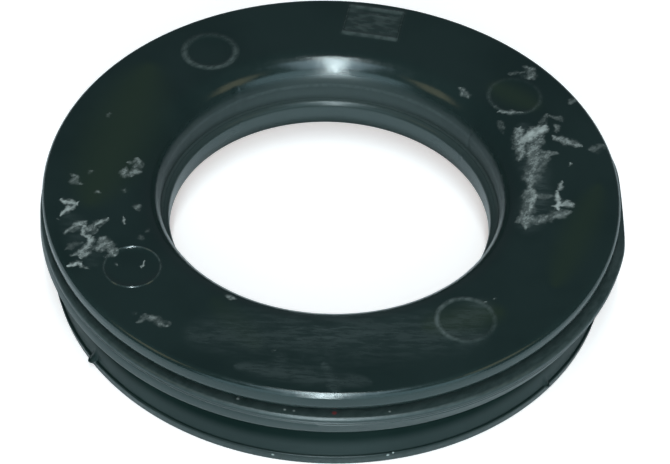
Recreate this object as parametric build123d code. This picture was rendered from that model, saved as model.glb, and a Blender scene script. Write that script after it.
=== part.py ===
from build123d import *
import os
from math import radians, tan

# A sealing ring, moulded in rubber as one piece. A bell-mouthed bore with an
# inner lip takes a pipe, and the groove round the outside holds the edge of a
# hole in a panel.
#
# Millimetres and degrees. Z is the ring's axis. Z = 0 is the face that the ring
# stands on, and the bell mouth opens upwards. Azimuths run from +X towards +Y.

# Outside, from the top down: rim, neck, flange, groove and foot
RIM_RADIUS = 42.4
RIM_THICKNESS = 2.6
NECK_HEIGHT = 1.4
NECK_DRAFT = 45.0
FLANGE_REACH = 1.1
FLANGE_THICKNESS = 4.0
FLANGE_DRAFT = 10.0
GROOVE_DEPTH = 3.8
GROOVE_WIDTH = 6.0
GROOVE_DRAFT = 15.0
FOOT_REACH = 0.35
FOOT_THICKNESS = 1.9
FOOT_DRAFT = 9.0

# Inside, from the top down: throat, inner lip and skirt
THROAT_RADIUS = 25.2
THROAT_DEPTH = 6.6
LIP_REACH = 1.3
LIP_THICKNESS = 5.2
SKIRT_CLEARANCE = 5.2
SKIRT_DRAFT = 3.0

# Roundings of the section's corners; the creases between its steps are sharp
BELL_ROUNDING = 4.3
RIM_UPPER_ROUNDING = 1.0
RIM_LOWER_ROUNDING = 1.2
FLANGE_UPPER_ROUNDING = 0.5
FLANGE_LOWER_ROUNDING = 1.2
GROOVE_ROUNDING = 1.5
FOOT_ROUNDING = 0.2
BASE_ROUNDING = 0.4
SKIRT_MOUTH_ROUNDING = 0.8
SKIRT_ROOT_ROUNDING = 0.8
LIP_LOWER_ROUNDING = 2.3
LIP_UPPER_ROUNDING = 0.9
SHARP = 0.0
STRAIGHT_USED = 0.98  # most of a straight that the roundings at its ends may take

# Ejector pin marks, pressed into the top face
PIN_MARK_COUNT = 4
PIN_MARK_RADIUS = 4.0
PIN_MARK_DEPTH = 0.15
PIN_CIRCLE_RADIUS = 33.9
PIN_FIRST_AZIMUTH = 35.4

# Moulded plate on the top face: a raised frame round plain bars
PLATE_LENGTH = 9.2
PLATE_WIDTH = 7.6
PLATE_HEIGHT = 0.25
PLATE_SIDE_LINE = 0.9
PLATE_END_LINE = 0.4
PLATE_MARGIN = 1.0
PLATE_AZIMUTH = 81.0
PLATE_BAR_COUNT = 3
PLATE_BAR_LINE = 0.5
PLATE_BAR_MARGIN = 0.8
PLATE_ROOT = 0.3  # how far the plate's lines reach into the ring

# Heights of the section's shoulders above the standing face
FOOT_TOP = FOOT_THICKNESS
FLANGE_BOTTOM = FOOT_TOP + GROOVE_WIDTH
FLANGE_TOP = FLANGE_BOTTOM + FLANGE_THICKNESS
RIM_BOTTOM = FLANGE_TOP + NECK_HEIGHT
HEIGHT = RIM_BOTTOM + RIM_THICKNESS
LIP_TOP = HEIGHT - THROAT_DEPTH
LIP_BOTTOM = LIP_TOP - LIP_THICKNESS

# Radii of the section's walls
NECK_RADIUS = RIM_RADIUS - NECK_HEIGHT * tan(radians(NECK_DRAFT))
FLANGE_RADIUS = RIM_RADIUS + FLANGE_REACH
FLANGE_FOOT_RADIUS = FLANGE_RADIUS - FLANGE_THICKNESS * tan(radians(FLANGE_DRAFT))
GROOVE_RADIUS = FLANGE_RADIUS - GROOVE_DEPTH
GROOVE_FOOT_RADIUS = GROOVE_RADIUS + GROOVE_WIDTH * tan(radians(GROOVE_DRAFT))
FOOT_RADIUS = GROOVE_FOOT_RADIUS + FOOT_REACH
BASE_RADIUS = FOOT_RADIUS - FOOT_THICKNESS * tan(radians(FOOT_DRAFT))
LIP_RADIUS = THROAT_RADIUS - LIP_REACH
SKIRT_RADIUS = THROAT_RADIUS + SKIRT_CLEARANCE
SKIRT_MOUTH_RADIUS = SKIRT_RADIUS + LIP_BOTTOM * tan(radians(SKIRT_DRAFT))

# Middle of the plate, its margin inside the top face's edge
TOP_FACE_RADIUS = RIM_RADIUS - RIM_UPPER_ROUNDING
PLATE_CIRCLE_RADIUS = TOP_FACE_RADIUS - PLATE_MARGIN - PLATE_WIDTH / 2


def section_corners():
    """Corners of half the ring's section, each with its rounding, from the bell mouth clockwise."""
    return [
        (THROAT_RADIUS, HEIGHT, BELL_ROUNDING),
        (RIM_RADIUS, HEIGHT, RIM_UPPER_ROUNDING),
        (RIM_RADIUS, RIM_BOTTOM, RIM_LOWER_ROUNDING),
        (NECK_RADIUS, FLANGE_TOP, SHARP),
        (FLANGE_RADIUS, FLANGE_TOP, FLANGE_UPPER_ROUNDING),
        (FLANGE_FOOT_RADIUS, FLANGE_BOTTOM, FLANGE_LOWER_ROUNDING),
        (GROOVE_RADIUS, FLANGE_BOTTOM, GROOVE_ROUNDING),
        (GROOVE_FOOT_RADIUS, FOOT_TOP, SHARP),
        (FOOT_RADIUS, FOOT_TOP, FOOT_ROUNDING),
        (BASE_RADIUS, 0, BASE_ROUNDING),
        (SKIRT_MOUTH_RADIUS, 0, SKIRT_MOUTH_ROUNDING),
        (SKIRT_RADIUS, LIP_BOTTOM, SKIRT_ROOT_ROUNDING),
        (LIP_RADIUS, LIP_BOTTOM, LIP_LOWER_ROUNDING),
        (LIP_RADIUS, LIP_TOP, LIP_UPPER_ROUNDING),
        (THROAT_RADIUS, LIP_TOP, SHARP),
    ]


def fitted_roundings(points, roundings):
    """Roundings that fit: both ends of a straight that is too short for them shrink alike."""
    count = len(points)
    sides = [points[(i + 1) % count] - points[i] for i in range(count)]
    turns = [sides[i - 1].get_angle(sides[i]) for i in range(count)]
    tangents = [roundings[i] * tan(radians(turns[i] / 2)) for i in range(count)]
    fits = []
    for i, side in enumerate(sides):
        needed = tangents[i] + tangents[(i + 1) % count]
        fits.append(min(1, STRAIGHT_USED * side.length / needed) if needed else 1)
    return [roundings[i] * min(fits[i - 1], fits[i]) for i in range(count)]


def ring_body():
    """The plain ring: its rounded section turned once round the axis."""
    corners = section_corners()
    points = [Vector(radius, 0, height) for radius, height, rounding in corners]
    roundings = [rounding for radius, height, rounding in corners]
    outline = FilletPolyline(*points, radius=fitted_roundings(points, roundings), close=True)
    return revolve(make_face(outline.edges()), Axis.Z)


def pin_marks():
    """Shallow round pockets that the ejector pins left in the top face."""
    pocket = Cylinder(PIN_MARK_RADIUS, PIN_MARK_DEPTH, align=(Align.CENTER, Align.CENTER, Align.MAX))
    places = PolarLocations(PIN_CIRCLE_RADIUS, PIN_MARK_COUNT, start_angle=PIN_FIRST_AZIMUTH)
    return [Pos(Z=HEIGHT) * place * pocket for place in places]


def plate():
    """The moulded plate, built about the origin with its width along X."""
    upright = (Align.CENTER, Align.CENTER, Align.MIN)
    depth = PLATE_ROOT + PLATE_HEIGHT
    opening_width = PLATE_WIDTH - 2 * PLATE_SIDE_LINE
    opening_length = PLATE_LENGTH - 2 * PLATE_END_LINE
    frame = Box(PLATE_WIDTH, PLATE_LENGTH, depth, align=upright)
    frame -= Box(opening_width, opening_length, depth, align=upright)
    bar = Box(PLATE_BAR_LINE, opening_length - 2 * PLATE_BAR_MARGIN, depth, align=upright)
    pitch = opening_width / (PLATE_BAR_COUNT + 1)
    bars = [place * bar for place in GridLocations(pitch, 0, PLATE_BAR_COUNT, 1)]
    return [frame, *bars]


def sealing_ring():
    """The whole ring, with its pin marks and its plate."""
    seat = Rot(Z=PLATE_AZIMUTH) * Pos(PLATE_CIRCLE_RADIUS, 0, HEIGHT - PLATE_ROOT)
    ring = ring_body() - pin_marks()
    return ring + [seat * line for line in plate()]


os.makedirs("parts", exist_ok=True)
export_step(sealing_ring(), "parts/sealing_ring.step")
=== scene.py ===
from math import atan2, ceil, cos, degrees, hypot, pi, radians, sin, tan, tanh

import bpy
from mathutils import Euler, Matrix, Vector, noise
from mathutils.geometry import delaunay_2d_cdt


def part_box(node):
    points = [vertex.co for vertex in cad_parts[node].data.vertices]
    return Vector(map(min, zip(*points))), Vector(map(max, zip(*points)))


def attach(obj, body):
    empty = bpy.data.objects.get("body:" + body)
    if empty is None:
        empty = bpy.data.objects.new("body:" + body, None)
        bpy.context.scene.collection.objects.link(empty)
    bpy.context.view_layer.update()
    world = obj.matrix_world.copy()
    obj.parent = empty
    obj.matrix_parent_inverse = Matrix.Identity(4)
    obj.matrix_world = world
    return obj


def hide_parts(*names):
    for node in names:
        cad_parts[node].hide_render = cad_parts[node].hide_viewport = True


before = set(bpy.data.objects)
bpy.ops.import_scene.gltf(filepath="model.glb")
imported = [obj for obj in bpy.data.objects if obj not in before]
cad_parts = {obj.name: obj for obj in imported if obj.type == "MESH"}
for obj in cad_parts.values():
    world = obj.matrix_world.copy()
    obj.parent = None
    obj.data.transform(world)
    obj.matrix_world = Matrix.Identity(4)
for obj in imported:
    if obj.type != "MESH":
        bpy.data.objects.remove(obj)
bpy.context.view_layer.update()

# A moulded rubber sealing ring, lying on a pale floor. Its section is drawn in
# millimetres as (radius, height above the floor) and turned round the Z axis.
# Azimuths run from +X towards +Y, in degrees.
MM = 0.001

# ---------------------------------------------------------------- the section
_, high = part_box("sealing_ring")
REACH = high[0] / MM                   # how far the part's box goes to the right
PLATE_HEIGHT = 0.25
TOP = high[2] / MM - PLATE_HEIGHT      # the top face, on which only the plate stands proud

# Radii and heights of the section's shoulders, from the rim down and then up the bore
RIM = 42.4
RIM_BOTTOM = TOP - 2.6
NECK = 41.0
FLANGE = 43.49
FLANGE_TOP = TOP - 4.0
FLANGE_BOTTOM = FLANGE_TOP - 4.0
FLANGE_FOOT = 42.8
GROOVE = 39.7
GROOVE_FOOT = 41.3
FOOT = 41.65
FOOT_TOP = 1.9
BASE = 41.35
SKIRT_MOUTH = 30.6
SKIRT = 30.4
LIP = 23.9
LIP_TOP = TOP - 6.6
LIP_BOTTOM = LIP_TOP - 5.2
THROAT = 25.2

BELL_ROUNDING = 4.3
RIM_ROUNDING = 1.0
ARC_STEP = 10.0      # degrees of rounding per section point
RUN_STEP = 0.85      # longest straight between section points
SEGMENTS = 510       # azimuth steps round the ring

# The moulds didn't meet quite true: the rim and the flange sit off centre
RIM_SHIFT = (0.2, -0.4)
FLANGE_SHIFT = (0.65, 0.0)
FOOT_SHIFT = (0.15, 0.0)
CENTRED = (0.0, 0.0)
STOP_DEPTH = 0.6     # how far inside the part's box the flange starts to be held back

# Corners of the section: radius, height, rounding, shift. The six rows after the
# flange's upper edge are the parting line: two fine grooves round the flange.
SECTION = [
    (RIM, TOP, RIM_ROUNDING, RIM_SHIFT),
    (RIM, RIM_BOTTOM, 2.2, RIM_SHIFT),
    (NECK, FLANGE_TOP, 0, RIM_SHIFT),
    (FLANGE, FLANGE_TOP, 0.5, FLANGE_SHIFT),
    (FLANGE - 0.12, FLANGE_TOP - 0.70, 0, FLANGE_SHIFT),
    (FLANGE - 0.22, FLANGE_TOP - 0.80, 0, FLANGE_SHIFT),
    (FLANGE - 0.16, FLANGE_TOP - 0.90, 0, FLANGE_SHIFT),
    (FLANGE - 0.21, FLANGE_TOP - 1.20, 0, FLANGE_SHIFT),
    (FLANGE - 0.31, FLANGE_TOP - 1.30, 0, FLANGE_SHIFT),
    (FLANGE - 0.25, FLANGE_TOP - 1.40, 0, FLANGE_SHIFT),
    (FLANGE_FOOT, FLANGE_BOTTOM, 1.6, FOOT_SHIFT),
    (GROOVE, FLANGE_BOTTOM, 1.5, CENTRED),
    (GROOVE_FOOT, FOOT_TOP, 0, FOOT_SHIFT),
    (FOOT, FOOT_TOP, 0.2, FOOT_SHIFT),
    (BASE, 0, 0.4, FOOT_SHIFT),
    (SKIRT_MOUTH, 0, 0.8, CENTRED),
    (SKIRT, LIP_BOTTOM, 0.8, CENTRED),
    (LIP, LIP_BOTTOM, 2.3, CENTRED),
    (LIP, LIP_TOP, 0.9, CENTRED),
    (THROAT, LIP_TOP, 0, CENTRED),
    (THROAT, TOP, BELL_ROUNDING, CENTRED),
]


def section_points():
    """Points round the section from the rim's top edge to the bell mouth's, each with its shift."""
    corners = [Vector((radius, height)) for radius, height, _, _ in SECTION]
    count = len(corners)
    arcs = []
    for i, (radius, height, rounding, shift) in enumerate(SECTION):
        arrive = (corners[i] - corners[i - 1]).normalized()
        leave = (corners[(i + 1) % count] - corners[i]).normalized()
        turn = arrive.angle_signed(leave)
        if not rounding:
            arcs.append([(corners[i], shift)])
            continue
        tangent = rounding * tan(abs(turn) / 2)
        start = corners[i] - arrive * tangent
        side = 1 if turn > 0 else -1
        inward = Vector((arrive.y, -arrive.x)) * side
        centre = start + inward * rounding
        steps = ceil(degrees(abs(turn)) / ARC_STEP)
        arc = []
        for step in range(steps + 1):
            angle = -turn * step / steps
            arc.append((centre + Matrix.Rotation(angle, 2) @ (start - centre), shift))
        arcs.append(arc)
    points = []
    for arc in arcs:
        if points:
            (here, here_shift), (there, there_shift) = points[-1], arc[0]
            steps = ceil((there - here).length / RUN_STEP)
            for step in range(1, steps):
                share = step / steps
                shift = tuple(a + (b - a) * share for a, b in zip(here_shift, there_shift))
                points.append((here.lerp(there, share), shift))
        points.extend(arc)
    return points


# ------------------------------------------------------------ marks on the top
# Ejector pin marks: azimuth, ridge height and half width, depth of the disc inside,
# then the pale ring's half width, its strength and the direction of its stronger side.
# The pale ring is wear with a painted highlight on the ridge, stronger on that side.
PIN_RADIUS = 4.0
PIN_CIRCLE = 33.9
PINS = [
    (35.4, 0.04, 0.30, 0.08, 0.50, 0.30, 250),
    (125.4, 0.05, 0.45, 0.15, 0.72, 0.72, 270),
    (216.1, 0.12, 0.13, 0.02, 0.24, 0.50, 90),
    (304.9, 0.05, 0.24, 0.05, 0.50, 0.95, 150),
]

# The moulded plate: a raised frame round plain bars
PLATE_AZIMUTH = 81.0
PLATE_CIRCLE = 36.6
PLATE_SIZE = (7.6, 9.2)
PLATE_LINES = (0.9, 0.4)
PLATE_STEP = 0.6     # longest mesh edge along the plate's lines
SLOPE = 0.35         # how far a raised line's wall leans in, as a share of its width
BAR_SHARE = 0.35     # the bars' height as a share of the frame's
PLATE_BARS = [
    # offset from the plate's centre, then size; the first of each is radial
    (-1.5, 0.0, 0.5, 6.2),
    (0.1, -1.9, 0.9, 1.9),
    (0.1, 0.9, 0.6, 2.6),
    (1.7, 0.3, 0.5, 5.6),
]

# The rows of mesh points over the top face, and its slight unevenness
ROW_STEP = 1.2
ROW_PITCH = 1.1
WAVE_HEIGHT = 0.035
WAVE_LENGTH = 11.0


def polar(azimuth, radius):
    """The place at an azimuth and radius, in millimetres."""
    return Vector((radius * cos(radians(azimuth)), radius * sin(radians(azimuth))))


def wave(place):
    """The top face's slight unevenness, which dies out at its edges."""
    span = (place.length - THROAT - BELL_ROUNDING) / (RIM - RIM_ROUNDING - THROAT - BELL_ROUNDING)
    fade = min(1.0, 6 * max(0.0, span), 6 * max(0.0, 1 - span))
    return WAVE_HEIGHT * fade * noise.noise(Vector((place.x, place.y, 0)) / WAVE_LENGTH)


def rectangle(centre, size, turn):
    """A rectangle's corners, anticlockwise."""
    corners = []
    for across, along in ((-1, -1), (1, -1), (1, 1), (-1, 1)):
        corner = Vector((across * size[0] / 2, along * size[1] / 2))
        corners.append(centre + Matrix.Rotation(turn, 2) @ corner)
    return corners


def divided(corners, step):
    """A closed polygon's corners with more points along its sides."""
    points = []
    for i, corner in enumerate(corners):
        side = corners[(i + 1) % len(corners)] - corner
        count = max(1, ceil(side.length / step))
        points.extend(corner + side * k / count for k in range(count))
    return points


def top_loops():
    """Closed loops on the top face, as (points, height above it)."""
    loops = []
    for azimuth, ridge, half, dish, *_ in PINS:
        centre = polar(azimuth, PIN_CIRCLE)
        rings = [
            (PIN_RADIUS + half / 2 + 0.1, 0),
            (PIN_RADIUS + half / 3, ridge),
            (PIN_RADIUS - half / 3, ridge),
            (PIN_RADIUS - 1.5 * half, -dish / 2),
            (PIN_RADIUS * 0.7, -dish),
            (PIN_RADIUS * 0.4, -dish),
        ]
        for radius, height in rings:
            count = max(12, round(2 * pi * radius / 0.35))
            loop = [centre + polar(360 * k / count, radius) for k in range(count)]
            loops.append((loop, height))
    turn = radians(PLATE_AZIMUTH)
    centre = polar(PLATE_AZIMUTH, PLATE_CIRCLE)
    width, length = PLATE_SIZE
    side, end = PLATE_LINES
    frames = [
        (0, 0, 0),
        (side * SLOPE, end * SLOPE, PLATE_HEIGHT),
        (side * (1 - SLOPE), end * (1 - SLOPE), PLATE_HEIGHT),
        (side, end, 0),
    ]
    for across, along, height in frames:
        size = (width - 2 * across, length - 2 * along)
        loops.append((divided(rectangle(centre, size, turn), PLATE_STEP), height))
    for across, along, bar_width, bar_length in PLATE_BARS:
        spot = centre + Matrix.Rotation(turn, 2) @ Vector((across, along))
        for inset, height in ((0, 0), (bar_width * SLOPE, PLATE_HEIGHT * BAR_SHARE)):
            size = (bar_width - 2 * inset, bar_length - 2 * inset)
            loops.append((divided(rectangle(spot, size, turn), PLATE_STEP), height))
    return loops


def is_free(place):
    """Whether a place on the top face is clear of the pin marks and the plate."""
    for azimuth, *_ in PINS:
        if (place - polar(azimuth, PIN_CIRCLE)).length < PIN_RADIUS + 0.9:
            return False
    local = Matrix.Rotation(-radians(PLATE_AZIMUTH), 2) @ place - Vector((PLATE_CIRCLE, 0))
    return abs(local.x) > PLATE_SIZE[0] / 2 + 0.4 or abs(local.y) > PLATE_SIZE[1] / 2 + 0.4


# -------------------------------------------------- small faults of the mould
# Nibs of flash at the foot's step: azimuth, size, reach, degrees of finer mesh to each side
NIBS = [
    (217.0, 0.8, 0.75, 1.5),
    (320.0, 0.5, 0.35, 1.1),
]
NIB_STEP = 0.2       # degrees

# Faint seams down the throat: azimuth, half width, degrees of finer mesh to each side
THROAT_MARKS = [
    (126.0, 0.7, 2.0),
    (34.5, 0.5, 1.6),
]
THROAT_MARK_DEPTH = 0.06
THROAT_MARK_STEP = 0.3

FLASH_REACH = 0.12   # the ragged flash along the foot's step


def arc_between(azimuth, middle, radius):
    """The signed length of the arc from one azimuth to another."""
    return radians((azimuth - middle + 180) % 360 - 180) * radius


def bump_out(azimuth, radius, height):
    """How far a point of the outside and the bore stands proud of the plain section."""
    proud = 0.0
    for middle, size, reach, _ in NIBS:
        away = hypot(arc_between(azimuth, middle, radius), height - FOOT_TOP) / size
        if radius > GROOVE and away < 1:
            proud += reach * (1 - away * away)
    for middle, half, _ in THROAT_MARKS:
        along = abs(arc_between(azimuth, middle, radius))
        if radius < THROAT + 0.6 and height > LIP_TOP - 1.0 and along < half:
            proud += THROAT_MARK_DEPTH * min(1.0, 2 * (1 - along / half))
    if radius > FOOT - 0.1 and abs(height - FOOT_TOP) < 0.3:
        spot = polar(azimuth, 9.0)
        proud += FLASH_REACH * max(0.0, noise.noise(Vector((spot.x, spot.y, 0.5)) * 0.9))
    return proud


def azimuths():
    """Azimuths of the mesh round the ring, closer together at its small marks."""
    angles = {round(360 * k / SEGMENTS, 4) for k in range(SEGMENTS)}
    finer = [(middle, span, NIB_STEP) for middle, _, _, span in NIBS]
    finer += [(middle, span, THROAT_MARK_STEP) for middle, _, span in THROAT_MARKS]
    for middle, span, step in finer:
        count = round(span / step)
        angles |= {round(middle + k * step, 4) for k in range(-count, count + 1)}
    return sorted(angles)


def held_back(x):
    """X with a soft stop at the part's box, which the flange would pass on the right."""
    start = REACH - STOP_DEPTH
    return x if x < start else start + STOP_DEPTH * tanh((x - start) / STOP_DEPTH)


def free_places():
    """Places in rows over the plain parts of the top face, which keep its triangles even."""
    places = []
    radius = THROAT + BELL_ROUNDING + 0.8
    while radius < RIM - RIM_ROUNDING - 0.6:
        steps = round(2 * pi * radius / ROW_STEP)
        for k in range(steps):
            place = polar(360 * (k + 0.5 * (steps % 2)) / steps, radius)
            if is_free(place):
                places.append(place)
        radius += ROW_PITCH
    return places


def ring_mesh():
    """The whole ring as one closed mesh."""
    section = section_points()
    angles = azimuths()
    count = len(angles)
    verts = []
    for place, shift in section:
        for azimuth in angles:
            radius = place.x + bump_out(azimuth, place.x, place.y)
            flat = polar(azimuth, radius) + Vector(shift)
            verts.append((held_back(flat.x), flat.y, place.y))

    faces = []
    for row in range(len(section) - 1):
        for k in range(count):
            following = (k + 1) % count
            here, above = row * count, (row + 1) * count
            faces.append((here + k, above + k, above + following, here + following))

    # The top face joins the first row to the last, round its marks
    last = (len(section) - 1) * count
    outer = [Vector(verts[k][:2]) for k in range(count)]
    inner = [Vector(verts[last + k][:2]) for k in range(count)]
    places = outer + inner
    heights = [0.0] * (2 * count)
    edges = [(k, (k + 1) % count) for k in range(count)]
    edges += [(count + k, count + (k + 1) % count) for k in range(count)]
    for loop, height in top_loops():
        start = len(places)
        places += loop
        heights += [height] * len(loop)
        edges += [(start + k, start + (k + 1) % len(loop)) for k in range(len(loop))]
    rows = free_places()
    places += rows
    heights += [0.0] * len(rows)
    flat, _, triangles, sources, _, _ = delaunay_2d_cdt(places, edges, [], 0, 1e-6)
    index = {}
    for k, place in enumerate(flat):
        source = sources[k][0]
        if source < count:
            index[k] = source
        elif source < 2 * count:
            index[k] = last + source - count
        else:
            index[k] = len(verts)
            level = min(heights[source] + wave(place), PLATE_HEIGHT)
            verts.append((place.x, place.y, TOP + level))
    for triangle in triangles:
        over_bore = all(count <= sources[k][0] < 2 * count for k in triangle)
        if not over_bore:
            faces.append(tuple(index[k] for k in triangle))

    mesh = bpy.data.meshes.new("sealing_ring_skin")
    mesh.from_pydata([Vector(vert) * MM for vert in verts], [], faces)
    mesh.validate()
    mesh.shade_smooth()
    mesh.set_sharp_from_angle(angle=radians(40))
    return mesh


mesh = ring_mesh()
ring = bpy.data.objects.new("sealing_ring_rubber", mesh)
bpy.context.scene.collection.objects.link(ring)
weights = ring.modifiers.new("weighted", "WEIGHTED_NORMAL")
weights.keep_sharp = True
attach(ring, "root")
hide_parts("sealing_ring")


# ---------------------------------------------------------------- the rubber
def new_material(name):
    """An empty node material."""
    material = bpy.data.materials.new(name)
    material.use_nodes = True
    material.node_tree.nodes.clear()
    return material


def add(tree, kind, **settings):
    """A node with its settings."""
    node = tree.nodes.new(kind)
    for key, value in settings.items():
        setattr(node, key, value)
    return node


def math_node(tree, operation, *values):
    """A math node; each input is a socket or a number. Returns its output."""
    node = add(tree, "ShaderNodeMath", operation=operation)
    for socket, value in zip(node.inputs, values):
        if isinstance(value, (int, float)):
            socket.default_value = value
        else:
            tree.links.new(value, socket)
    return node.outputs[0]


def remap(tree, value, low, high, to_low=0.0, to_high=1.0):
    """A clamped smooth remapping of a value. Returns its output."""
    node = add(tree, "ShaderNodeMapRange", interpolation_type="SMOOTHSTEP")
    tree.links.new(value, node.inputs["Value"])
    node.inputs["From Min"].default_value = low
    node.inputs["From Max"].default_value = high
    node.inputs["To Min"].default_value = to_low
    node.inputs["To Max"].default_value = to_high
    return node.outputs["Result"]


def noise_node(tree, vector, scale, detail, roughness=0.6):
    """A noise texture. Returns its value."""
    node = add(tree, "ShaderNodeTexNoise")
    tree.links.new(vector, node.inputs["Vector"])
    node.inputs["Scale"].default_value = scale
    node.inputs["Detail"].default_value = detail
    node.inputs["Roughness"].default_value = roughness
    return node.outputs["Fac"]


def mix_colour(tree, share, first, second):
    """A mix of two colours, each a socket or a colour. Returns its output."""
    node = add(tree, "ShaderNodeMix", data_type="RGBA")
    for socket, value in ((node.inputs[0], share), (node.inputs[6], first), (node.inputs[7], second)):
        if isinstance(value, bpy.types.NodeSocket):
            tree.links.new(value, socket)
        else:
            socket.default_value = value
    return node.outputs[2]


def stretched(tree, vector, factors):
    """A vector with each axis multiplied by its own factor. Returns its output."""
    node = add(tree, "ShaderNodeVectorMath", operation="MULTIPLY")
    tree.links.new(vector, node.inputs[0])
    node.inputs[1].default_value = factors
    return node.outputs[0]


def off_by(tree, value, middle):
    """How far a value is from a number, to either side. Returns its output."""
    return math_node(tree, "ABSOLUTE", math_node(tree, "SUBTRACT", value, middle))


def distance(tree, vector, spot):
    """The distance from a vector to a place. Returns its output."""
    node = add(tree, "ShaderNodeVectorMath", operation="DISTANCE")
    tree.links.new(vector, node.inputs[0])
    node.inputs[1].default_value = spot
    return node.outputs["Value"]


def patches(tree, vector, ovals):
    """The strongest of some soft ovals on the top face. Returns its value.

    A place's distances to an oval's two foci add up to its length on its edge, and to
    less inside. The value is squared at the end, which gives each oval a soft bell shape.
    """
    total = 0.0
    for start, end, width, strength in ovals:
        first, second = polar(*start), polar(*end)
        middle = (first + second) / 2
        long = ((second - first).length + width) / 2
        focus = (long * long - width * width / 4) ** 0.5
        steep = strength ** 0.5 / (long - focus)
        if start == end:
            away = distance(tree, vector, (*middle, TOP))
            value = math_node(tree, "MULTIPLY_ADD", away, -steep, steep * long)
        else:
            reach = (second - first).normalized() * focus
            near = distance(tree, vector, (*(middle - reach), TOP))
            far = distance(tree, vector, (*(middle + reach), TOP))
            value = math_node(tree, "MULTIPLY_ADD", near, -steep / 2, steep * long)
            value = math_node(tree, "MULTIPLY_ADD", far, -steep / 2, value)
        total = math_node(tree, "MAXIMUM", total, value)
    return math_node(tree, "MULTIPLY", total, total)


def worn_and_highlit_rings(tree, vector):
    """Pale rings on the edges of the pin marks: wear with a painted highlight, stronger on one side.
    Returns its value.
    """
    total = 0.0
    for azimuth, _, _, _, half, strength, side in PINS:
        centre = polar(azimuth, PIN_CIRCLE)
        away = distance(tree, vector, (*centre, TOP))
        off = off_by(tree, away, PIN_RADIUS)
        ahead = add(tree, "ShaderNodeVectorMath", operation="DOT_PRODUCT")
        tree.links.new(vector, ahead.inputs[0])
        ahead.inputs[1].default_value = (*polar(side, 1 / PIN_RADIUS), 0)
        start = centre.dot(polar(side, 1 / PIN_RADIUS))
        # painted highlight: the ring is lighter towards its given side
        lit = remap(tree, ahead.outputs["Value"], start - 1.2, start + 0.8, 0.25, 1.0)
        value = math_node(tree, "MULTIPLY_ADD", off, -strength / half, strength)
        total = math_node(tree, "MAXIMUM", total, math_node(tree, "MULTIPLY", value, lit))
    return total


def worn_plate(tree, place, mottle):
    """The plate's two worn long sides, and a fainter wear between them. Returns its value."""
    local = add(tree, "ShaderNodeMapping", vector_type="TEXTURE")
    tree.links.new(place, local.inputs["Vector"])
    local.inputs["Location"].default_value = (*polar(PLATE_AZIMUTH, PLATE_CIRCLE), TOP)
    local.inputs["Rotation"].default_value = (0, 0, radians(PLATE_AZIMUTH))
    split = add(tree, "ShaderNodeSeparateXYZ")
    tree.links.new(local.outputs[0], split.inputs[0])
    across = math_node(tree, "ABSOLUTE", split.outputs[0])
    along = math_node(tree, "ABSOLUTE", split.outputs[1])
    width, length = PLATE_SIZE
    middle = (width - PLATE_LINES[0]) / 2
    sides = remap(tree, off_by(tree, across, middle), 0.0, 1.0, 0.62, 0.0)
    sides = math_node(tree, "MULTIPLY", sides, remap(tree, mottle, 0.35, 0.6, 0.5, 1.0))
    rows = stretched(tree, local.outputs[0], (0.85, 0.40, 1.0))
    blobs = noise_node(tree, rows, 1.0, detail=1.0)
    inside = remap(tree, across, middle, middle - 1.5, 0.25, 1.0)
    inside = math_node(tree, "MULTIPLY", inside, remap(tree, blobs, 0.34, 0.74, 0.10, 0.46))
    both = math_node(tree, "MAXIMUM", sides, inside)
    both = math_node(tree, "MULTIPLY", both, remap(tree, split.outputs[2], -0.5, -0.2))
    both = math_node(tree, "MULTIPLY", both, remap(tree, across, width / 2 + 0.6, width / 2 - 0.1))
    return math_node(tree, "MULTIPLY", both, remap(tree, along, length / 2 + 0.4, length / 2 - 0.7))


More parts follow.
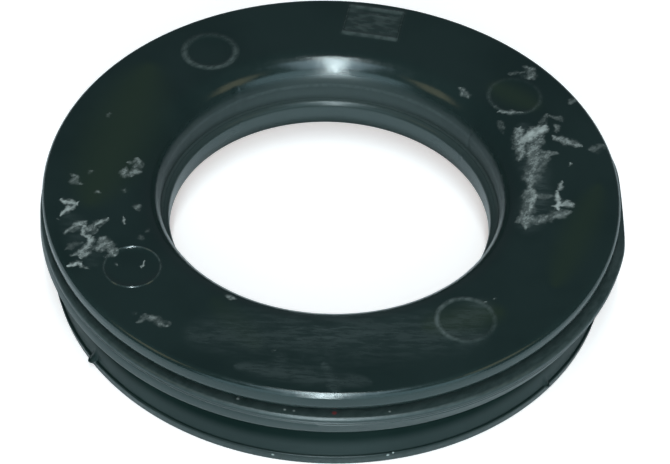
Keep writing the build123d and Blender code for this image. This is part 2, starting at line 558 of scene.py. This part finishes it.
# Chalky scuffs on the top face: start and end as (azimuth, radius), width, strength
SCUFFS = [
    ((18.3, 30.4), (21.3, 33.8), 3.4, 1.00),
    ((12.5, 28.7), (22.5, 30.4), 2.4, 0.62),
    ((1.0, 29.4), (12.0, 31.4), 3.8, 0.46),
    ((8.5, 30.5), (10.5, 32.6), 2.8, 0.46),
    ((12.3, 31.5), (12.0, 33.8), 1.8, 0.40),
    ((13.5, 30.5), (17.0, 32.2), 3.0, 0.60),
    ((-16.0, 29.5), (-3.0, 29.2), 3.2, 0.52),
    ((-10.0, 29.6), (-5.5, 29.8), 1.8, 0.82),
    ((-15.5, 28.4), (-13.5, 30.2), 2.0, 0.56),
    ((-14.2, 31.0), (-10.0, 34.4), 2.6, 0.44),
    ((-5.0, 30.2), (-4.2, 32.4), 1.7, 0.28),
    ((-8.4, 33.4), (-3.4, 33.3), 1.8, 0.90),
    ((-7.4, 33.4), (-6.3, 35.0), 1.9, 0.90),
    ((-1.5, 33.6), (0.6, 33.9), 1.5, 0.60),
    ((13.8, 37.7), (17.0, 35.3), 2.1, 0.62),
    ((19.6, 35.8), (20.7, 36.2), 1.4, 0.40),
    ((23.6, 37.3), (24.6, 36.6), 1.8, 0.32),
    ((22.5, 34.2), (25.8, 35.7), 1.8, 0.30),
    ((7.5, 35.5), (7.5, 35.5), 0.9, 0.95),
    ((11.8, 40.2), (12.4, 41.2), 2.7, 0.30),
    ((27.4, 40.6), (27.8, 41.4), 1.5, 0.32),
    ((38.8, 38.9), (40.6, 39.8), 2.9, 0.48),
    ((42.2, 36.8), (41.2, 38.4), 1.5, 0.28),
    ((29.4, 32.4), (31.8, 30.2), 1.5, 0.55),
    ((34.9, 30.1), (34.9, 30.1), 1.4, 0.30),
    ((24.0, 28.2), (28.6, 28.6), 1.1, 0.28),
    ((43.8, 28.3), (46.2, 28.5), 1.8, 0.52),
    ((190.4, 39.0), (191.9, 37.7), 1.5, 0.95),
    ((191.8, 37.6), (194.2, 39.4), 1.5, 0.90),
    ((198.4, 37.4), (199.6, 39.2), 2.2, 0.55),
    ((199.0, 37.3), (204.8, 37.0), 1.3, 0.80),
    ((204.6, 37.0), (207.6, 39.2), 2.4, 0.80),
    ((206.6, 38.2), (206.9, 39.8), 1.7, 0.60),
    ((205.4, 35.3), (208.8, 35.0), 2.7, 0.56),
    ((206.7, 35.2), (207.1, 36.6), 1.9, 0.58),
    ((209.6, 34.6), (210.1, 36.0), 1.6, 0.40),
    ((198.2, 33.9), (199.6, 35.0), 1.4, 0.75),
    ((199.4, 35.0), (200.4, 36.4), 2.3, 0.48),
    ((201.4, 35.4), (201.9, 36.0), 1.5, 0.45),
    ((199.0, 31.4), (200.8, 31.5), 1.1, 0.62),
    ((209.0, 41.3), (209.9, 40.2), 1.4, 0.95),
    ((210.2, 40.2), (211.3, 39.4), 1.2, 0.42),
    ((203.7, 39.0), (204.6, 40.6), 1.4, 0.20),
    ((188.8, 34.2), (188.8, 34.2), 1.4, 0.62),
    ((183.2, 38.0), (184.8, 37.0), 1.8, 0.38),
    ((181.6, 35.2), (181.6, 35.2), 1.4, 0.36),
    ((160.6, 35.8), (160.6, 35.8), 1.3, 0.36),
    ((188.8, 30.4), (188.8, 30.4), 1.4, 0.40),
    ((195.7, 40.2), (195.7, 40.2), 0.8, 0.40),
    ((175.8, 28.5), (178.2, 28.7), 1.9, 0.46),
    ((176.6, 29.0), (177.2, 29.9), 1.6, 0.40),
    ((180.6, 30.3), (183.0, 30.2), 1.8, 0.48),
    ((180.0, 28.4), (182.0, 29.2), 1.8, 0.56),
    ((195.6, 28.2), (196.4, 28.8), 1.6, 0.44),
    ((205.8, 28.9), (205.8, 28.9), 1.5, 0.28),
    ((208.2, 30.3), (208.2, 30.3), 1.4, 0.24),
    ((230.0, 39.8), (230.2, 38.8), 1.5, 0.28),
    ((230.8, 38.2), (234.0, 37.9), 2.3, 0.42),
    ((227.7, 39.0), (227.7, 39.0), 1.4, 0.28),
    ((258.5, 35.4), (258.5, 35.4), 1.0, 0.45),
    ((241.6, 28.4), (243.4, 28.2), 1.3, 0.80),
    ((315.5, 33.3), (315.5, 33.3), 0.8, 0.75),
    ((312.7, 32.7), (312.7, 32.7), 0.8, 0.65),
    ((214.1, 35.5), (214.1, 35.5), 1.0, 0.80),
    ((216.2, 31.9), (217.4, 32.6), 0.8, 0.80),
]

# Faint rubbed areas, in the same form. The patches at the front, from azimuth 250 to 296, are partly
# a painted sheen on the near part of the face.
HAZES_AND_SHEEN = [
    ((266, 30.6), (277, 30.8), 3.6, 0.62),
    ((266, 32.6), (282, 32.2), 3.6, 0.62),
    ((279.5, 31.7), (283, 31.9), 2.6, 0.62),
    ((250, 34.0), (296, 34.0), 17.0, 0.40),
    ((256, 39.4), (276, 40.0), 5.6, 0.45),
    ((270.6, 37.8), (272.4, 41.4), 3.2, 0.62),
    ((271.6, 40.6), (273, 40.4), 2.4, 0.75),
    ((260, 31.0), (261, 38.0), 5.0, 0.36),
    ((2, 30.4), (20, 31.0), 7.0, 0.50),
    ((-15, 30.0), (-3, 30.5), 7.0, 0.45),
    ((297.5, 33.0), (300.0, 35.0), 4.2, 0.62),
    ((300.9, 34.5), (308, 33.5), 7.5, 0.42),
    ((198, 38.5), (208, 38.0), 6.5, 0.26),
]

# Bright specks and worn spots on the sides: azimuth, radius, height, half width, strength
SPECKS = [
    (260.95, 41.6, 1.25, 0.30, 0.95),
    (283.0, 41.6, 1.55, 0.30, 0.95),
    (284.05, 41.6, 1.90, 0.20, 0.95),
    (279.8, 42.4, 13.7, 0.34, 0.95),
    (263.25, 42.2, 11.9, 0.26, 0.45),
    (254.25, 41.85, 11.9, 0.30, 0.45),
    (282.45, 42.55, 11.9, 0.22, 0.45),
    (264.95, 42.2, 11.9, 0.24, 0.35),
    (267.4, 42.4, 13.7, 0.34, 0.30),
    (269.6, 42.4, 13.8, 0.40, 0.25),
    (215.2, 42.0, 14.6, 0.45, 0.50),
]
RED_FLECK = (272.35, 42.2, 11.95)      # azimuth, radius, height

# Where the face is a little olive, in the same form. The first, broad patch on the left is a painted
# reflection of warm surroundings.
OLIVE_TINTS_AND_REFLECTIONS = [
    ((150, 34.5), (182, 33.5), 17.0, 0.95),
    ((-28, 37.5), (-4, 38.5), 8.0, 0.75),
    ((33, 34.5), (38, 33.5), 8.0, 0.90),
    ((300, 33.0), (309, 34.5), 8.5, 0.95),
    ((243, 31.0), (252, 34.0), 7.0, 0.40),
]


# Colours of the rubber and of what lies on it; some of them also paint reflection, sheen and
# highlight
RUBBER_DARK = (0.0055, 0.0155, 0.0142, 1)
RUBBER_LIGHT = (0.0092, 0.0215, 0.0200, 1)
OLIVE_AND_REFLECTION = (0.0135, 0.0270, 0.0165, 1)
HAZE_AND_SHEEN = (0.0600, 0.0850, 0.0850, 1)
WORN_AND_HIGHLIT = (0.0850, 0.1150, 0.1120, 1)
RED = (0.1700, 0.0200, 0.0230, 1)
CHALK = (0.4100, 0.4850, 0.4750, 1)
SPECULAR = (0.80, 0.96, 1.0, 1)

WARP = 1.2           # how far noise pushes the scuffs' outlines about


def warped(tree, place):
    """Places pushed about by noise, which makes the scuffs' outlines ragged. Returns its output."""
    warp = add(tree, "ShaderNodeTexNoise")
    tree.links.new(place, warp.inputs["Vector"])
    warp.inputs["Scale"].default_value = 0.6
    warp.inputs["Detail"].default_value = 4.0
    pushed = add(tree, "ShaderNodeVectorMath", operation="MULTIPLY_ADD")
    tree.links.new(warp.outputs["Color"], pushed.inputs[0])
    pushed.inputs[1].default_value = (2 * WARP, 2 * WARP, 0)
    shifted = add(tree, "ShaderNodeVectorMath", operation="SUBTRACT")
    tree.links.new(place, shifted.inputs[0])
    shifted.inputs[1].default_value = (WARP, WARP, 0)
    tree.links.new(shifted.outputs[0], pushed.inputs[2])
    return pushed.outputs[0]


def chalk_mask(tree, place, texture):
    """Scuffs on the top face and specks on the sides. Returns its value."""
    rubbed = patches(tree, warped(tree, place), SCUFFS)
    rough = math_node(tree, "MULTIPLY", math_node(tree, "SUBTRACT", texture, 0.62), 0.9)
    rough = math_node(tree, "MULTIPLY", rough, math_node(tree, "MINIMUM", rubbed, 0.45))
    chalk = math_node(tree, "MULTIPLY_ADD", rubbed, 0.92, rough)
    chalk = math_node(tree, "MAXIMUM", math_node(tree, "MINIMUM", chalk, 1.0), 0.0)
    chalk = math_node(tree, "POWER", chalk, 1.35)
    for azimuth, radius, height, half, strength in SPECKS:
        away = distance(tree, place, (*polar(azimuth, radius), height))
        speck = remap(tree, away, half, half / 3, 0.0, strength)
        chalk = math_node(tree, "MAXIMUM", chalk, speck)
    return chalk


def dust_mask(tree, height, inner, strokes):
    """Dust on the flange's shelf, on the foot and at the foot of the throat. Returns its value."""
    shelf = remap(tree, off_by(tree, height, FLANGE_TOP), 0.15, 0.45, 0.42, 0.0)
    foot = remap(tree, height, FOOT_TOP, FOOT_TOP - 1.0, 0.0, 0.42)
    dusty = math_node(tree, "MAXIMUM", shelf, foot)
    dusty = math_node(tree, "MULTIPLY", dusty, remap(tree, strokes, 0.35, 0.62, 0.35, 1.0))
    settled = remap(tree, height, LIP_TOP + 3.0, LIP_TOP + 0.6, 0.0, 0.38)
    return math_node(tree, "MAXIMUM", dusty, math_node(tree, "MULTIPLY", settled, inner))


def wear_and_highlight_mask(tree, place, height, texture, mottle):
    """Wear of the plate, and wear with a painted highlight on the pin marks' edges. Returns its
    value.
    """
    raised = remap(tree, height, TOP + 0.02, TOP + 0.20)
    raised = math_node(tree, "MULTIPLY", raised, 0.25)
    worn_and_highlit = math_node(tree, "MAXIMUM", raised, worn_and_highlit_rings(tree, place))
    worn_and_highlit = math_node(tree, "MULTIPLY", worn_and_highlit, math_node(tree, "MULTIPLY_ADD", texture, 0.9, 0.45))
    return math_node(tree, "MAXIMUM", worn_and_highlit, worn_plate(tree, place, mottle))


def rubber_roughness(tree, height, away, inner, chalk, mottle):
    """Glossy on top, duller down the sides and in the bell mouth, and glossy at the lip."""
    fine = remap(tree, mottle, 0.3, 0.7, 0.14, 0.20)
    bell = remap(tree, height, TOP - 3.6, TOP - 1.6, 0.36, 0.0)
    matt = remap(tree, height, TOP - 4.5, TOP - 2.5, 0.20, 0.0)
    matt = math_node(tree, "MAXIMUM", matt, math_node(tree, "MULTIPLY", bell, inner))
    lip = remap(tree, away, THROAT - 0.1, THROAT - 0.5, 0.0, -0.30)
    matt = math_node(tree, "ADD", matt, lip)
    return math_node(tree, "ADD", fine, math_node(tree, "MULTIPLY_ADD", chalk, 0.3, matt))


def rubber_shine(tree, height, away, inner):
    """Specular level: least in the groove's root and low in the bore, most on flange and bell. The
    low levels paint the shade under the flange and at the bottom of the bore.
    """
    # painted shade: the groove's root under the flange reflects almost nothing
    groove = remap(tree, height, FLANGE_BOTTOM - 4.8, FLANGE_BOTTOM - 3.1, 0.48, 0.02)
    above = remap(tree, height, FLANGE_BOTTOM, FLANGE_BOTTOM + 0.3, 0.0, 0.92)
    corner = remap(tree, away, FLANGE_FOOT - 1.2, FLANGE_FOOT - 0.4, 0.0, 0.92)
    outside = math_node(tree, "MAXIMUM", groove, math_node(tree, "MAXIMUM", above, corner))
    # painted shade: the bottom of the bore reflects almost nothing
    bore = remap(tree, height, LIP_BOTTOM + 1.4, LIP_BOTTOM + 3.2, 0.02, 1.0)
    lip_edge = remap(tree, off_by(tree, height, LIP_TOP - 0.35), 0.10, 0.50, -0.60, 0.0)
    bore = math_node(tree, "ADD", bore, lip_edge)
    shine = add(tree, "ShaderNodeMix", data_type="FLOAT")
    tree.links.new(inner, shine.inputs[0])
    tree.links.new(outside, shine.inputs[2])
    tree.links.new(bore, shine.inputs[3])
    return shine.outputs[0]


def rubber_material():
    """Black moulded rubber with a green cast, chalky scuffs, dust and worn edges, with painted sheen,
    reflections, highlights and shade.
    """
    material = new_material("moulded_rubber")
    tree = material.node_tree
    coordinates = add(tree, "ShaderNodeTexCoord")
    scaled = add(tree, "ShaderNodeVectorMath", operation="SCALE")
    tree.links.new(coordinates.outputs["Object"], scaled.inputs[0])
    scaled.inputs["Scale"].default_value = 1 / MM
    place = scaled.outputs[0]

    # Noises: broad clouds, mottling, fine grain, slanting strokes, long streaks and dust
    cloud = remap(tree, noise_node(tree, place, 0.05, detail=3.0), 0.35, 0.65)
    mottle = noise_node(tree, place, 0.9, detail=5.0)
    grain = noise_node(tree, place, 6.0, detail=3.0)
    combed = add(tree, "ShaderNodeMapping", vector_type="TEXTURE")
    tree.links.new(place, combed.inputs["Vector"])
    combed.inputs["Rotation"].default_value = (0, 0, radians(50))
    combed.inputs["Scale"].default_value = (1.7, 0.8, 1.0)
    strokes = noise_node(tree, combed.outputs[0], 1.3, detail=6.0, roughness=0.65)
    brushed = stretched(tree, place, (0.5, 2.4, 1.0))
    streaks = noise_node(tree, brushed, 0.6, detail=5.0, roughness=0.65)
    dust = noise_node(tree, place, 4.5, detail=2.0, roughness=0.5)
    texture = remap(tree, math_node(tree, "MULTIPLY_ADD", dust, 0.35, strokes), 0.52, 0.82)

    # Masks
    chalk = chalk_mask(tree, place, texture)
    # rubbed areas, and a painted sheen at the front of the face
    haze_and_sheen = patches(tree, place, HAZES_AND_SHEEN)
    haze_and_sheen = math_node(tree, "MULTIPLY", haze_and_sheen, remap(tree, streaks, 0.38, 0.64, 0.25, 1.0))
    # olive patches; the broad one on the left is a painted warm reflection
    olive_and_reflection = patches(tree, place, OLIVE_TINTS_AND_REFLECTIONS)
    split = add(tree, "ShaderNodeSeparateXYZ")
    tree.links.new(place, split.inputs[0])
    height = split.outputs["Z"]
    outward = add(tree, "ShaderNodeVectorMath", operation="LENGTH")
    tree.links.new(stretched(tree, place, (1, 1, 0)), outward.inputs[0])
    away = outward.outputs["Value"]
    inner = remap(tree, away, GROOVE - 3.0, GROOVE - 8.0)
    haze_and_sheen = math_node(tree, "MAXIMUM", haze_and_sheen, dust_mask(tree, height, inner, strokes))
    worn_and_highlit = wear_and_highlight_mask(tree, place, height, texture, mottle)
    azimuth, radius, level = RED_FLECK
    fleck = distance(tree, place, (*polar(azimuth, radius), level))
    fleck = remap(tree, fleck, 0.45, 0.15, 0.0, 0.8)

    base = mix_colour(tree, cloud, RUBBER_DARK, RUBBER_LIGHT)
    # the olive, haze and worn masks also paint reflection, sheen and highlight
    for mask, colour in ((olive_and_reflection, OLIVE_AND_REFLECTION), (haze_and_sheen, HAZE_AND_SHEEN), (worn_and_highlit, WORN_AND_HIGHLIT), (fleck, RED), (chalk, CHALK)):
        base = mix_colour(tree, mask, base, colour)
    roughness = rubber_roughness(tree, height, away, inner, chalk, mottle)
    shine = rubber_shine(tree, height, away, inner)

    bump = add(tree, "ShaderNodeBump")
    bump.inputs["Strength"].default_value = 0.25
    bump.inputs["Distance"].default_value = 0.00003
    tree.links.new(math_node(tree, "ADD", grain, mottle), bump.inputs["Height"])

    shader = add(tree, "ShaderNodeBsdfPrincipled")
    tree.links.new(base, shader.inputs["Base Color"])
    tree.links.new(roughness, shader.inputs["Roughness"])
    tree.links.new(bump.outputs["Normal"], shader.inputs["Normal"])
    shader.inputs["IOR"].default_value = 1.5
    shader.inputs["Specular Tint"].default_value = SPECULAR
    tree.links.new(shine, shader.inputs["Specular IOR Level"])
    output = add(tree, "ShaderNodeOutputMaterial")
    tree.links.new(shader.outputs[0], output.inputs["Surface"])
    return material


mesh.materials.append(rubber_material())


# ------------------------------------------------------- floor, light, camera
def floor_material():
    """Pale paper: what sees it directly gets a lift to white, and it keeps its shadows."""
    material = new_material("pale_floor")
    tree = material.node_tree
    diffuse = add(tree, "ShaderNodeBsdfDiffuse")
    diffuse.inputs["Color"].default_value = (0.78, 0.88, 0.91, 1)
    lift = add(tree, "ShaderNodeEmission")
    lift.inputs["Color"].default_value = (1.0, 0.92, 0.90, 1)
    lift.inputs["Strength"].default_value = 0.52
    both = add(tree, "ShaderNodeAddShader")
    tree.links.new(diffuse.outputs[0], both.inputs[0])
    tree.links.new(lift.outputs[0], both.inputs[1])
    path = add(tree, "ShaderNodeLightPath")
    mix = add(tree, "ShaderNodeMixShader")
    tree.links.new(path.outputs["Is Camera Ray"], mix.inputs[0])
    tree.links.new(diffuse.outputs[0], mix.inputs[1])
    tree.links.new(both.outputs[0], mix.inputs[2])
    output = add(tree, "ShaderNodeOutputMaterial")
    tree.links.new(mix.outputs[0], output.inputs["Surface"])
    return material


FLOOR_HALF = 2.5
floor_mesh = bpy.data.meshes.new("floor")
corners = [(-FLOOR_HALF, -FLOOR_HALF, 0), (FLOOR_HALF, -FLOOR_HALF, 0)]
corners += [(FLOOR_HALF, FLOOR_HALF, 0), (-FLOOR_HALF, FLOOR_HALF, 0)]
floor_mesh.from_pydata(corners, [], [(0, 1, 2, 3)])
floor_mesh.materials.append(floor_material())
floor = bpy.data.objects.new("floor", floor_mesh)
bpy.context.scene.collection.objects.link(floor)

world = bpy.data.worlds.new("studio")
bpy.context.scene.world = world
world.use_nodes = True
tree = world.node_tree
tree.nodes.clear()
dim = add(tree, "ShaderNodeBackground")
dim.inputs["Color"].default_value = (0.75, 0.90, 1.0, 1)
dim.inputs["Strength"].default_value = 0.10
white = add(tree, "ShaderNodeBackground")
white.inputs["Color"].default_value = (1, 1, 1, 1)
path = add(tree, "ShaderNodeLightPath")
mix = add(tree, "ShaderNodeMixShader")
tree.links.new(path.outputs["Is Camera Ray"], mix.inputs[0])
tree.links.new(dim.outputs[0], mix.inputs[1])
tree.links.new(white.outputs[0], mix.inputs[2])
output = add(tree, "ShaderNodeOutputWorld")
tree.links.new(mix.outputs[0], output.inputs["Surface"])

# Area lights: azimuth, elevation, distance, width, height, power, colour. A narrow strip
# and a soft box give the bell mouth its highlight, a low bank lights the front, and two
# small warm lamps give the ends of the bell mouth their brown glints.
LIGHTS = [
    (269.8, 46, 0.9, 0.05, 2.0, 9.2, (1.0, 0.99, 0.98)),
    (273, 62, 0.9, 0.50, 0.60, 1.5, (0.75, 0.90, 1.0)),
    (276, 21, 0.9, 1.80, 0.64, 3.3, (0.72, 0.92, 1.0)),
    (202, 40, 0.9, 0.30, 0.34, 0.24, (1.0, 0.78, 0.45)),
    (338, 40, 0.9, 0.30, 0.34, 0.24, (1.0, 0.78, 0.45)),
]
TARGET = Vector((0, 0, 0.008))
for number, (azimuth, elevation, reach, width, height, power, colour) in enumerate(LIGHTS):
    data = bpy.data.lights.new("light_%d" % number, "AREA")
    data.shape = "RECTANGLE"
    data.size = width
    data.size_y = height
    data.energy = power
    data.color = colour
    light = bpy.data.objects.new(data.name, data)
    flat = polar(azimuth, reach * cos(radians(elevation)))
    light.location = TARGET + Vector((flat.x, flat.y, reach * sin(radians(elevation))))
    light.rotation_euler = (TARGET - light.location).to_track_quat("-Z", "Y").to_euler()
    bpy.context.scene.collection.objects.link(light)

CAMERA_PLACE = Vector((0.9, -234.2, TOP + 219.1)) * MM
CAMERA_ELEVATION = 44.54
CAMERA_ROLL = 2.16
camera_data = bpy.data.cameras.new("camera")
camera_data.lens = 117.2
camera_data.sensor_width = 36.0
camera_data.clip_start = 0.01
camera = bpy.data.objects.new("camera", camera_data)
tilt = Euler((radians(90 - CAMERA_ELEVATION), 0, 0)).to_matrix()
roll = Matrix.Rotation(radians(CAMERA_ROLL), 3, "Z")
camera.matrix_world = Matrix.Translation(CAMERA_PLACE) @ (tilt @ roll).to_4x4()
bpy.context.scene.collection.objects.link(camera)
bpy.context.scene.camera = camera
bpy.context.scene.view_settings.view_transform = "Standard"

bpy.context.view_layer.update()
